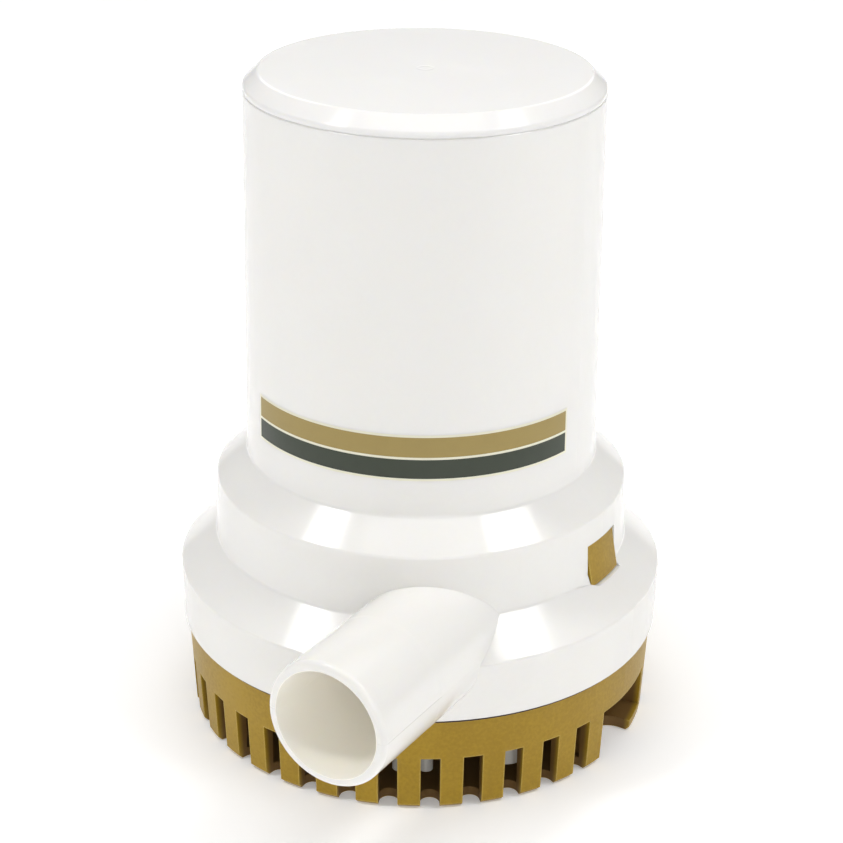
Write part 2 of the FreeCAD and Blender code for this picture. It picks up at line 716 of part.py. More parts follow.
# ---------------------------------------------------------------- intake plate and screws
def make_plate():
    """Make the intake plate that closes the volute, with its eye ring, posts and ribs."""
    eye_outside = "Sizes.eye_radius + Sizes.eye_wall"
    disc = lathe("PlateDisc", [
        ("Sizes.eye_radius", "Sizes.seat_height"),
        ("Sizes.plate_radius", "Sizes.seat_height"),
        ("Sizes.plate_radius", PLATE_BOTTOM),
        (eye_outside, PLATE_BOTTOM),
        (eye_outside, PLATE_BOTTOM + " - Sizes.eye_drop"),
        ("Sizes.eye_radius", PLATE_BOTTOM + " - Sizes.eye_drop"),
    ])
    posts, tools = [], []
    for number in range(POSTS):
        x, y = across("Sizes.post_circle", f"Sizes.post_angle + {number * FULL_TURN / POSTS}")
        posts.append(cylinder(
            f"Post_{number}", "Sizes.post_radius", f"{PLATE_BOTTOM} - Sizes.post_bottom",
            x=x, y=y, z="Sizes.post_bottom",
        ))
        tools.append(cylinder(
            f"PostBore_{number}", "Sizes.screw_head + Sizes.brush_clearance",
            f"Sizes.screw_seat - Sizes.post_bottom + {MARGIN}",
            x=x, y=y, z=f"Sizes.post_bottom - {MARGIN}",
        ))
        tools.append(cylinder(
            f"PostHole_{number}", "Sizes.screw_radius + Sizes.running_gap",
            "Sizes.seat_height", x=x, y=y, z="Sizes.post_bottom",
        ))
    ribs = []
    for number, angle in enumerate(RIB_ANGLES):
        x, y = across("Sizes.plate_radius - Sizes.rib_length / 2", angle)
        ribs.append(cylinder(
            f"Rib_{number}", "Sizes.rib_radius", f"{PLATE_BOTTOM} - Sizes.post_bottom",
            x=x, y=y, z="Sizes.post_bottom",
        ))
    for side, start in (
        ("right", "Sizes.plate_flat"),
        ("left", "-Sizes.plate_radius - " + OVERRUN),
    ):
        tools.append(block(
            "PlateNotch_" + side, "Sizes.plate_radius - Sizes.plate_flat + " + OVERRUN,
            "Sizes.plate_notch", "Sizes.plate_thickness + 2 * " + OVERRUN,
            x=start, y="-Sizes.plate_notch / 2", z=f"{PLATE_BOTTOM} - {OVERRUN}",
        ))
    solid = fuse("PlateSolid", [disc] + posts + ribs)
    keep(cut("Plate", solid, fuse("PlateTools", tools)), "intake_plate")


def make_screws():
    """Make the screws that hold the intake plate, each head down inside its post."""
    screws = []
    for number in range(POSTS):
        x, y = across("Sizes.post_circle", f"Sizes.post_angle + {number * FULL_TURN / POSTS}")
        head = cylinder(
            f"ScrewHead_{number}", "Sizes.screw_head", "Sizes.screw_head_height",
            x=x, y=y, z="Sizes.screw_seat - Sizes.screw_head_height",
        )
        shank = cylinder(
            f"ScrewShank_{number}", "Sizes.screw_radius", "Sizes.screw_length",
            x=x, y=y, z="Sizes.screw_seat",
        )
        socket = doc.addObject("Part::Prism", f"ScrewSocket_{number}")
        bind(socket, Circumradius="Sizes.screw_socket", Height="Sizes.screw_head_height / 2")
        place(socket, x=x, y=y, z="Sizes.screw_seat - Sizes.screw_head_height")
        screws.append(cut(f"Screw_{number}", fuse(f"ScrewBlank_{number}", [head, shank]), socket))
    keep(group("Screws", screws), "intake_plate_screws")


# ---------------------------------------------------------------- impeller, shaft and seal
def make_impeller():
    """Make the impeller: hub, shroud and vanes that trail as it turns clockwise from above."""
    bottom = "Sizes.impeller_bottom"
    vane_top = "Sizes.impeller_bottom + Sizes.vane_height"
    hub = lathe("ImpellerHub", [
        (PRESSED_BORE, bottom + " + Sizes.hub_nose_gap"),
        ("Sizes.hub_radius - Sizes.hub_nose_inset", bottom + " + Sizes.hub_nose_gap"),
        ("Sizes.hub_radius", bottom + " + Sizes.hub_nose_height"),
        ("Sizes.hub_radius + Sizes.hub_flare", vane_top),
        ("Sizes.impeller_radius", vane_top),
        ("Sizes.impeller_radius", vane_top + " + Sizes.shroud_thickness"),
        ("Sizes.hub_radius", vane_top + " + Sizes.shroud_thickness"),
        ("Sizes.hub_radius", "Sizes.hub_top"),
        (PRESSED_BORE, "Sizes.hub_top"),
    ])

    def vane(name, angle):
        """Return one curved vane, turned by an angle."""
        centre = "Sizes.vane_bow"
        outer = cylinder(
            name + "_outer", "Sizes.vane_bow + Sizes.vane_thickness / 2",
            f"Sizes.vane_height + {MARGIN}",
            x=f"{centre} * cos({angle})", y=f"{centre} * sin({angle})", z=bottom,
            angle=angle + VANE_START,
        )
        outer.Angle = VANE_ARC
        inner = cylinder(
            name + "_inner", "Sizes.vane_bow - Sizes.vane_thickness / 2",
            f"Sizes.vane_height + 3 * {MARGIN}",
            x=f"{centre} * cos({angle})", y=f"{centre} * sin({angle})", z=f"{bottom} - {MARGIN}",
        )
        return cut(name, outer, inner)

    vanes = around("Vanes", VANES, vane)
    rim = cylinder(
        "VaneRim", "Sizes.impeller_radius", f"Sizes.vane_height + {MARGIN}", z=bottom,
    )
    core = cylinder(
        "VaneCore", "Sizes.hub_radius - Sizes.hub_nose_inset", f"Sizes.vane_height + 3 * {MARGIN}",
        z=f"{bottom} - {MARGIN}",
    )
    trimmed = cut("VaneRing", common("VanesTrimmed", [vanes, rim]), core)
    keep(fuse("Impeller", [hub, trimmed]), "impeller")


def make_shaft():
    """Make the motor's shaft, whose lower end carries the impeller."""
    shaft = lathe("Shaft", [
        ("0", "Sizes.shaft_bottom"),
        ("Sizes.shaft_radius - Sizes.shaft_chamfer", "Sizes.shaft_bottom"),
        ("Sizes.shaft_radius", "Sizes.shaft_bottom + Sizes.shaft_chamfer"),
        ("Sizes.shaft_radius", "Sizes.shaft_top - Sizes.shaft_chamfer"),
        ("Sizes.shaft_radius - Sizes.shaft_chamfer", "Sizes.shaft_top"),
        ("0", "Sizes.shaft_top"),
    ])
    keep(shaft, "motor_shaft")


def make_seal():
    """Make the lip seal round the shaft and the cup washer that keeps it in its seat."""
    seal = lathe("Seal", [
        ("Sizes.seal_radius - Sizes.press_gap", SEAL_BOTTOM),
        ("Sizes.seal_radius - Sizes.press_gap", SEAL_TOP + " - Sizes.keeper_thickness"),
        (RUNNING_BORE + " + Sizes.seal_body", SEAL_TOP + " - Sizes.keeper_thickness"),
        (RUNNING_BORE + " + Sizes.seal_body", SEAL_BOTTOM + " + Sizes.seal_body"),
        (RUNNING_BORE + " + Sizes.lip_thickness", SEAL_BOTTOM + " + Sizes.seal_body"),
        (RUNNING_BORE + " + Sizes.lip_thickness", SEAL_BOTTOM + " + Sizes.lip_top"),
        (RUNNING_BORE, SEAL_BOTTOM + " + Sizes.lip_crest"),
        (RUNNING_BORE, SEAL_BOTTOM + " + Sizes.lip_heel"),
        (RUNNING_BORE + " + Sizes.lip_thickness", SEAL_BOTTOM),
    ])
    keep(seal, "shaft_seal")
    keeper = lathe("SealKeeper", [
        ("Sizes.seal_throat", SEAL_TOP + " - Sizes.keeper_thickness"),
        ("Sizes.seal_radius - Sizes.press_gap", SEAL_TOP + " - Sizes.keeper_thickness"),
        ("Sizes.seal_radius - Sizes.press_gap", SEAL_TOP),
        ("Sizes.seal_throat", SEAL_TOP),
    ])
    keep(keeper, "seal_keeper")


# ---------------------------------------------------------------- motor
def make_yoke():
    """Make the steel can of the motor, closed below round the lower bearing."""
    floor = "Sizes.motor_bottom + Sizes.yoke_wall"
    yoke = lathe("Yoke", [
        ("Sizes.bearing_radius + Sizes.press_gap", "Sizes.motor_bottom"),
        ("Sizes.motor_radius", "Sizes.motor_bottom"),
        ("Sizes.motor_radius", "Sizes.motor_top"),
        (YOKE_INSIDE, "Sizes.motor_top"),
        (YOKE_INSIDE, floor),
        ("Sizes.bearing_boss", floor),
        ("Sizes.bearing_boss", "Sizes.motor_bottom + Sizes.bearing_length"),
        ("Sizes.bearing_radius + Sizes.press_gap", "Sizes.motor_bottom + Sizes.bearing_length"),
    ])
    round_rims(yoke, "Sizes.yoke_round", [("Sizes.motor_radius", "Sizes.motor_bottom")])
    keep(yoke, "motor_yoke")


def make_bearing(name, label, bottom):
    """Make one plain bearing bush."""
    bush = lathe(name, [
        (RUNNING_BORE, bottom),
        ("Sizes.bearing_radius", bottom),
        ("Sizes.bearing_radius", f"{bottom} + Sizes.bearing_length"),
        (RUNNING_BORE, f"{bottom} + Sizes.bearing_length"),
    ])
    keep(bush, label)


def make_end_plate():
    """Make the motor's moulded end plate, with the upper bearing's seat."""
    seat = "Sizes.motor_top + Sizes.bearing_length - Sizes.bearing_step"
    plate = lathe("EndPlate", [
        (RUNNING_BORE + " + Sizes.shaft_room", "Sizes.motor_top"),
        ("Sizes.motor_radius", "Sizes.motor_top"),
        ("Sizes.motor_radius", "Sizes.motor_top + Sizes.end_plate"),
        ("Sizes.bearing_boss + Sizes.boss_flare", "Sizes.motor_top + Sizes.end_plate"),
        ("Sizes.bearing_boss", seat),
        ("Sizes.bearing_radius + Sizes.press_gap", seat),
        ("Sizes.bearing_radius + Sizes.press_gap", "Sizes.motor_top + Sizes.bearing_step"),
        (RUNNING_BORE + " + Sizes.shaft_room", "Sizes.motor_top + Sizes.bearing_step"),
    ])
    slots = fuse("TabSlots", [
        block(
            "TabSlot_" + side, "Sizes.tab_thickness + 2 * Sizes.press_gap",
            "Sizes.tab_width + 2 * Sizes.press_gap", f"Sizes.end_plate + 2 * {MARGIN}",
            x=f"{sign} * Sizes.tab_offset - Sizes.tab_thickness / 2 - Sizes.press_gap",
            y="-Sizes.tab_width / 2 - Sizes.press_gap", z=f"Sizes.motor_top - {MARGIN}",
        )
        for side, sign in (("left", -1), ("right", 1))
    ])
    keep(cut("EndPlateCut", plate, slots), "motor_end_plate")
    tabs = [
        block(
            "Tab_" + side, "Sizes.tab_thickness", "Sizes.tab_width", "Sizes.tab_height",
            x=f"{sign} * Sizes.tab_offset - Sizes.tab_thickness / 2", y="-Sizes.tab_width / 2",
            z="Sizes.motor_top",
        )
        for side, sign in (("left", -1), ("right", 1))
    ]
    keep(group("Tabs", tabs), "terminal_tabs")


def make_magnet(side, sign):
    """Make one curved ferrite magnet."""
    bottom = "Sizes.core_bottom + Sizes.core_length / 2 - Sizes.magnet_length / 2"
    start = 90 - size_of("Sizes.magnet_sweep") / 2 + (0 if sign > 0 else FULL_TURN / 2)
    outer = cylinder(
        "MagnetOuter_" + side, YOKE_INSIDE + " - Sizes.press_gap", "Sizes.magnet_length",
        z=bottom, angle=start,
    )
    bind(outer, Angle="Sizes.magnet_sweep")
    inner = cylinder(
        "MagnetInner_" + side, MAGNET_INSIDE, f"Sizes.magnet_length + 2 * {MARGIN}",
        z=f"{bottom} - {MARGIN}",
    )
    keep(cut("Magnet_" + side, outer, inner), "magnet_" + side)


def make_armature():
    """Make the slotted core, the copper winding in its slots and the commutator above it."""
    core = lathe("Core", [
        (PRESSED_BORE, "Sizes.core_bottom"),
        (CORE_RADIUS, "Sizes.core_bottom"),
        (CORE_RADIUS, CORE_TOP),
        (PRESSED_BORE, CORE_TOP),
    ])
    depth = f"{CORE_RADIUS} - Sizes.core_slot_depth"

    def slot(name, angle):
        """Return the cutter of one winding slot, turned by an angle."""
        run = block(
            name + "_run", f"Sizes.core_slot_depth + {MARGIN}", "Sizes.core_slot_width",
            f"Sizes.core_length + 2 * {MARGIN}", x=depth, y="-Sizes.core_slot_width / 2",
            z=f"Sizes.core_bottom - {MARGIN}",
        )
        return turned_copy(name, run, angle)

    def coil(name, angle):
        """Return the wires that lie in one slot, turned by an angle."""
        bar = block(
            name + "_bar", "Sizes.core_slot_depth - Sizes.coil_recess",
            "Sizes.core_slot_width - 2 * Sizes.coil_clearance",
            f"Sizes.core_length + 2 * Sizes.coil_overhang - 2 * {MARGIN}",
            x=f"{depth} + Sizes.coil_clearance",
            y="-Sizes.core_slot_width / 2 + Sizes.coil_clearance",
            z=f"Sizes.core_bottom - Sizes.coil_overhang + {MARGIN}",
        )
        return turned_copy(name, bar, angle)

    keep(cut("CoreSlotted", core, around("CoreSlots", CORE_TEETH, slot)), "armature_core")

    def end_turns(name, near, far):
        """Return the ring of wire at one end of the core, from its near to its far height."""
        inner = f"{depth} - Sizes.coil_inset"
        outer = f"{CORE_RADIUS} - Sizes.coil_recess"
        shoulder = f"({near}) + (({far}) - ({near})) * Sizes.turn_shoulder"
        return lathe(name, [
            (inner, near),
            (outer, near),
            (outer, shoulder),
            (f"{outer} - Sizes.turn_slope", far),
            (f"{inner} + Sizes.coil_recess", far),
            (inner, shoulder),
        ])

    lower = end_turns(
        "LowerTurns", "Sizes.core_bottom - Sizes.coil_clearance",
        "Sizes.core_bottom - Sizes.coil_overhang",
    )
    upper = end_turns(
        "UpperTurns", f"{CORE_TOP} + Sizes.coil_clearance", f"{CORE_TOP} + Sizes.coil_overhang",
    )
    coils = around("Coils", CORE_TEETH, coil)
    keep(fuse("Windings", [lower, upper, coils]), "armature_windings")
    ring = lathe("CommutatorRing", [
        (PRESSED_BORE, COMMUTATOR_BOTTOM),
        ("Sizes.commutator_radius + Sizes.riser", COMMUTATOR_BOTTOM),
        ("Sizes.commutator_radius + Sizes.riser", COMMUTATOR_BOTTOM + " + Sizes.riser"),
        ("Sizes.commutator_radius", COMMUTATOR_BOTTOM + " + Sizes.riser"),
        ("Sizes.commutator_radius", COMMUTATOR_BOTTOM + " + Sizes.commutator_length"),
        (PRESSED_BORE, COMMUTATOR_BOTTOM + " + Sizes.commutator_length"),
    ])

    def gap(name, angle):
        """Return the cutter of one gap between bars, turned by an angle."""
        run = block(
            name + "_run", f"Sizes.bar_gap_depth + Sizes.riser + {MARGIN}", "Sizes.bar_gap",
            f"Sizes.commutator_length + 2 * {MARGIN}",
            x="Sizes.commutator_radius - Sizes.bar_gap_depth", y="-Sizes.bar_gap / 2",
            z=f"{COMMUTATOR_BOTTOM} - {MARGIN}",
        )
        return turned_copy(name, run, angle)

    keep(cut("Commutator", ring, around("BarGaps", CORE_TEETH, gap)), "commutator")


def make_washers():
    """Make the thrust washers that take the shaft's end play at both bearings."""
    washers = [
        lathe(name, [
            (PRESSED_BORE, bottom),
            ("Sizes.bearing_radius - Sizes.washer_inset", bottom),
            ("Sizes.bearing_radius - Sizes.washer_inset", f"{bottom} + {WASHER_HEIGHT}"),
            (PRESSED_BORE, f"{bottom} + {WASHER_HEIGHT}"),
        ])
        for name, bottom in (
            ("LowerWasher", "Sizes.motor_bottom + Sizes.bearing_length + Sizes.end_play"),
            ("UpperWasher", "Sizes.motor_top - Sizes.washer_thickness + 2 * Sizes.end_play"),
        )
    ]
    keep(group("Washers", washers), "thrust_washers")


def make_brush_gear(side, sign):
    """Make one brush, its spring and its holder, all on the X axis at the commutator."""
    middle = f"({COMMUTATOR_BOTTOM}) + Sizes.commutator_length / 2 + Sizes.brush_rise"
    hole_width = "Sizes.brush_width + 2 * Sizes.brush_clearance"
    hole_height = "Sizes.brush_height + 2 * Sizes.brush_clearance"
    start = "Sizes.commutator_radius + Sizes.holder_gap"
    holder_height = f"Sizes.motor_top - ({middle}) + ({hole_height}) / 2 + Sizes.holder_wall"
    outer = block(
        "HolderOuter_" + side, f"{HOLDER_REACH} - ({start})",
        f"{hole_width} + 2 * Sizes.holder_wall", holder_height,
        x=start, y=f"-({hole_width}) / 2 - Sizes.holder_wall",
        z=f"{middle} - ({hole_height}) / 2 - Sizes.holder_wall",
    )
    inner = block(
        "HolderInner_" + side, f"{HOLDER_REACH} - Sizes.holder_wall - ({start}) + {MARGIN}",
        hole_width, hole_height,
        x=f"{start} - {MARGIN}", y=f"-({hole_width}) / 2", z=f"{middle} - ({hole_height}) / 2",
    )
    holder = cut("HolderShape_" + side, outer, inner)
    body = block(
        "BrushBody_" + side, f"Sizes.brush_length + {MARGIN}", "Sizes.brush_width",
        "Sizes.brush_height", x=f"Sizes.commutator_radius - {MARGIN}", y="-Sizes.brush_width / 2",
        z=f"{middle} - Sizes.brush_height / 2",
    )
    face = cylinder(
        "BrushFace_" + side, "Sizes.commutator_radius + Sizes.running_gap",
        "2 * Sizes.commutator_length", z=f"{COMMUTATOR_BOTTOM} - {MARGIN}",
    )
    brush = cut("BrushShape_" + side, body, face)
    helix = doc.addObject("Part::Helix", "SpringPath_" + side)
    start_x = "Sizes.commutator_radius + Sizes.brush_length + Sizes.spring_wire"
    run = f"{HOLDER_REACH} - Sizes.holder_wall - Sizes.spring_wire - ({start_x})"
    bind(helix, Radius="Sizes.spring_radius", Height=run, Pitch=f"({run}) / Sizes.spring_turns")
    wire = doc.addObject("Part::Circle", "SpringWire_" + side)
    bind(wire, Radius="Sizes.spring_wire")
    place(wire, x="Sizes.spring_radius", axis=(1, 0, 0), angle=90)
    coil = doc.addObject("Part::Sweep", "SpringCoil_" + side)
    coil.Sections = [wire]
    coil.Spine = (helix, ["Edge1"])
    coil.Solid = True
    coil.Frenet = True
    place(coil, x=start_x, z=middle, axis=(0, 1, 0), angle=90)
    turn = 0 if sign > 0 else FULL_TURN / 2
    keep(turned_copy("Holder_" + side, holder, turn), "brush_holder_" + side)
    keep(turned_copy("Brush_" + side, brush, turn), "brush_" + side)
    keep(turned_copy("Spring_" + side, coil, turn), "brush_spring_" + side)


def make_support_ring(name, label, bottom):
    """Make one rubber ring that holds the motor in the middle of the can."""
    ring = lathe(name, [
        ("Sizes.motor_radius + Sizes.press_gap", bottom),
        ("Sizes.can_radius_high - Sizes.shell_wall - Sizes.ring_clearance", bottom),
        (
            "Sizes.can_radius_high - Sizes.shell_wall - Sizes.ring_clearance",
            f"{bottom} + Sizes.ring_height",
        ),
        ("Sizes.motor_radius + Sizes.press_gap", f"{bottom} + Sizes.ring_height"),
    ])
    keep(ring, label)


# ---------------------------------------------------------------- build, check and write
make_strainer()
make_latch("right", 1)
make_latch("left", -1)
make_housing()
make_cap()
make_gland()
make_plate()
make_screws()
make_impeller()
make_shaft()
make_seal()
make_yoke()
make_bearing("LowerBush", "lower_bearing", "Sizes.motor_bottom")
make_bearing("UpperBush", "upper_bearing", "Sizes.motor_top + Sizes.bearing_step")
make_end_plate()
make_magnet("front", 1)
make_magnet("rear", -1)
make_armature()
make_washers()
make_brush_gear("right", 1)
make_brush_gear("left", -1)
make_support_ring(
    "LowerRing", "lower_motor_ring", "Sizes.motor_bottom + 2 * Sizes.ring_height + Sizes.ring_rise",
)
make_support_ring("UpperRing", "upper_motor_ring", "Sizes.motor_top - 2 * Sizes.ring_height")
doc.recompute()

failed = [item.Name for item in doc.Objects if {"Invalid", "Error"} & set(item.State)]
if failed:
    raise RuntimeError(f"these features failed: {failed}")
for item in sub_parts:
    if item.Shape.isNull() or not item.Shape.isValid() or not item.Shape.Solids:
        raise RuntimeError(f"{item.Label} has no valid solid")

os.makedirs("parts", exist_ok=True)
for item in sub_parts:
    item.Shape.exportStep(f"parts/{item.Label}.step")
    print(item.Label, len(item.Shape.Solids), round(item.Shape.Volume, 1))
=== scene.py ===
"""Finishes, printed bands, studio and camera for a submersible bilge pump.

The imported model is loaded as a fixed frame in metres. Every CAD node keeps its shape and place; this
script rounds the edges of the moulded pieces, adds what is printed or moulded on them, and gives each
surface its procedural finish.
"""
import logging
import math
from dataclasses import dataclass, field
from enum import Enum
from typing import Any

import bmesh
import bpy
from mathutils import Matrix, Vector


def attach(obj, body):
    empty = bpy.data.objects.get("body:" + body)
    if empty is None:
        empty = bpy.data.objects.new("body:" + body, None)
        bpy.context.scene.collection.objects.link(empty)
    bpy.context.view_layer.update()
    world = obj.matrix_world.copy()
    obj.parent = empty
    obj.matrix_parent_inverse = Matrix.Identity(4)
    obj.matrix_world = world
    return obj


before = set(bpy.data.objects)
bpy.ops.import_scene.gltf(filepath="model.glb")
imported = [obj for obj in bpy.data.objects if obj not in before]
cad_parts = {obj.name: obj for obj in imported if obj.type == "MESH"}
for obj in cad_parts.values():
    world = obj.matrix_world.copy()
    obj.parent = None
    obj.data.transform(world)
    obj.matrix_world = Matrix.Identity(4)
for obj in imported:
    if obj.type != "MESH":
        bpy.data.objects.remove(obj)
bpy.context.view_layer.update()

LOG = logging.getLogger("bilge_pump")

Colour = tuple[float, float, float]
MM = 0.001
BLACK: Colour = (0.0, 0.0, 0.0)
GLOW_REACH: Colour = (1.0, 0.82, 0.5)
GLOW_DEPTH = 2.5 * MM


# ------------------------------------------------------------------ shader maths
@dataclass(frozen=True)
class Scalar:
    """A number that varies over a surface: one node output inside one graph."""

    graph: "Graph"
    socket: Any

    def _with(self, operation: str, *others: Any) -> "Scalar":
        """Return a Math node of this value and others."""
        inputs = {number: value for number, value in enumerate((self, *others))}
        return self.graph.scalar("ShaderNodeMath", {"operation": operation}, inputs)

    def __add__(self, other: Any) -> "Scalar":
        """Return this value plus another."""
        return self._with("ADD", other)

    __radd__ = __add__

    def __sub__(self, other: Any) -> "Scalar":
        """Return this value minus another."""
        return self._with("SUBTRACT", other)

    def __rsub__(self, other: Any) -> "Scalar":
        """Return another value minus this one."""
        return self.graph.number(other)._with("SUBTRACT", self)

    def __mul__(self, other: Any) -> "Scalar":
        """Return this value times another."""
        return self._with("MULTIPLY", other)

    __rmul__ = __mul__

    def __truediv__(self, other: Any) -> "Scalar":
        """Return this value divided by another."""
        return self._with("DIVIDE", other)

    def __pow__(self, other: Any) -> "Scalar":
        """Return this value to a power."""
        return self._with("POWER", other)

    def abs(self) -> "Scalar":
        """Return the value without its sign."""
        return self._with("ABSOLUTE")

    def fraction(self) -> "Scalar":
        """Return the part of the value after the point."""
        return self._with("FRACT")

    def above(self, limit: float) -> "Scalar":
        """Return 1 where the value is over a limit and 0 elsewhere."""
        return self._with("GREATER_THAN", limit)

    def ramp(self, low: float, high: float) -> "Scalar":
        """Return a smooth step from 0 at low to 1 at high."""
        return self.graph.scalar(
            "ShaderNodeMapRange",
            {"interpolation_type": "SMOOTHSTEP"},
            {"Value": self, "From Min": low, "From Max": high},
        )


class Graph:
    """The node tree of one material, with one Principled surface."""

    def __init__(self, name: str) -> None:
        """Start an empty material of this name."""
        self.material = bpy.data.materials.new(name)
        self.material.use_nodes = True
        self.tree = self.material.node_tree
        self.tree.nodes.clear()
        self.surface = self.node("ShaderNodeBsdfPrincipled")
        output = self.node("ShaderNodeOutputMaterial")
        self.tree.links.new(self.surface.outputs[0], output.inputs["Surface"])

    def node(
        self,
        kind: str,
        settings: dict[str, Any] | None = None,
        inputs: dict[Any, Any] | None = None,
    ) -> Any:
        """Add a node.

        Args:
            kind: The node's Blender type.
            settings: Properties of the node, set before its sockets are.
            inputs: Values or links for its sockets, by name or number.

        Returns:
            The node.
        """
        made = self.tree.nodes.new(kind)
        for key, value in (settings or {}).items():
            setattr(made, key, value)
        for key, value in (inputs or {}).items():
            self.feed(made.inputs[key], value)
        return made

    def feed(self, socket: Any, value: Any) -> None:
        """Link a socket to a value's node, or set its number or colour."""
        if isinstance(value, Scalar):
            value = value.socket
        if isinstance(value, bpy.types.NodeSocket):
            self.tree.links.new(value, socket)
        elif isinstance(value, tuple) and len(value) == 3 and socket.type == "RGBA":
            socket.default_value = (*value, 1.0)
        else:
            socket.default_value = value

    def scalar(self, kind: str, settings: dict[str, Any], inputs: dict[Any, Any]) -> Scalar:
        """Add a node and wrap its first output."""
        return Scalar(self, self.node(kind, settings, inputs).outputs[0])

    def number(self, value: float) -> Scalar:
        """Return a constant as a wrapped value."""
        made = self.node("ShaderNodeValue")
        made.outputs[0].default_value = value
        return Scalar(self, made.outputs[0])

    def place(self) -> Any:
        """Return the object coordinates, which are the row frame in metres."""
        return self.node("ShaderNodeTexCoord").outputs["Object"]

    def axes(self) -> tuple[Scalar, Scalar, Scalar]:
        """Return the row frame's x, y and z over the surface."""
        split = self.node("ShaderNodeSeparateXYZ", None, {0: self.place()})
        return tuple(Scalar(self, output) for output in split.outputs)

    def stretched(self, scale: Colour) -> Any:
        """Return the object coordinates scaled along each axis."""
        inputs = {"Vector": self.place(), "Scale": scale}
        return self.node("ShaderNodeMapping", None, inputs).outputs[0]

    def noise(self, scale: float, detail: float = 3.0, place: Any = None) -> Scalar:
        """Return noise of a scale, in features per metre."""
        inputs = {"Vector": place or self.place(), "Scale": scale, "Detail": detail}
        return self.scalar("ShaderNodeTexNoise", {}, inputs)

    def cells(self, scale: float) -> Scalar:
        """Return the distance field of scattered cells."""
        inputs = {"Vector": self.place(), "Scale": scale}
        return self.scalar("ShaderNodeTexVoronoi", {}, inputs)

    def mix(self, amount: Any, low: Any, high: Any) -> Any:
        """Return a colour between two."""
        inputs = {"Factor": amount, "A": low, "B": high}
        return self.node("ShaderNodeMix", {"data_type": "RGBA"}, inputs).outputs["Result"]

    def rounded(self, radius: float) -> Any:
        """Return normals that are rounded over sharp edges within a radius."""
        return self.node("ShaderNodeBevel", {"samples": 4}, {"Radius": radius}).outputs[0]

    def edges(self, radius: float) -> Scalar:
        """Return 1 on sharp edges, fading to 0 within a radius of them."""
        flat = self.node("ShaderNodeNewGeometry").outputs["Normal"]
        inputs = {0: self.rounded(radius), 1: flat}
        turned = self.node("ShaderNodeVectorMath", {"operation": "DOT_PRODUCT"}, inputs)
        return (1.0 - Scalar(self, turned.outputs["Value"])).ramp(0.006, 0.12)

    def relief(self, height: Scalar, depth: float, normal: Any = None) -> Any:
        """Return normals with bumps of a height field that is depth metres tall."""
        inputs = {"Height": height, "Strength": 1.0, "Distance": depth}
        if normal is not None:
            inputs["Normal"] = normal
        return self.node("ShaderNodeBump", None, inputs).outputs[0]

    def finish(self, **sockets: Any) -> bpy.types.Material:
        """Feed the surface's sockets, named with underscores, and return the material."""
        for name, value in sockets.items():
            self.feed(self.surface.inputs[name.replace("_", " ")], value)
        return self.material


# ------------------------------------------------------------------ finishes
@dataclass(frozen=True)
class MouldedPlastic:
    """Injection-moulded plastic: faint flow, orange peel, fine scuffs and rounded edges."""

    name: str
    colour: Colour
    shade: Colour
    roughness: float
    mottling: float = 0.25
    peel: float = 0.004 * MM
    edge: float = 0.25 * MM
    sheen: float = 0.5
    grain_wear: float = 0.04
    handling_wear: float = 0.05

    def moulded(self, graph: Graph) -> tuple[Any, Scalar, Any]:
        """Return the colour, roughness and normals that the moulding leaves."""
        flow = graph.noise(45.0, 4.0, graph.stretched((1.0, 1.0, 0.35)))
        grain = graph.noise(900.0, 3.0)
        handling = graph.noise(70.0, 3.0).ramp(0.5, 0.75)
        tone = (flow * 0.6 + grain * 0.4).ramp(0.38, 0.66) * self.mottling
        peel = graph.noise(420.0, 2.0) + graph.cells(1500.0) * 0.15
        return (
            graph.mix(tone, self.colour, self.shade),
            self.roughness + self.grain_wear * grain + self.handling_wear * handling,
            graph.relief(peel, self.peel, graph.rounded(self.edge)),
        )

    def build(self) -> bpy.types.Material:
        """Return the material."""
        graph = Graph(self.name)
        colour, roughness, skin = self.moulded(graph)
        return graph.finish(
            Base_Color=colour,
            Roughness=roughness,
            Normal=skin,
            Specular_IOR_Level=self.sheen,
        )


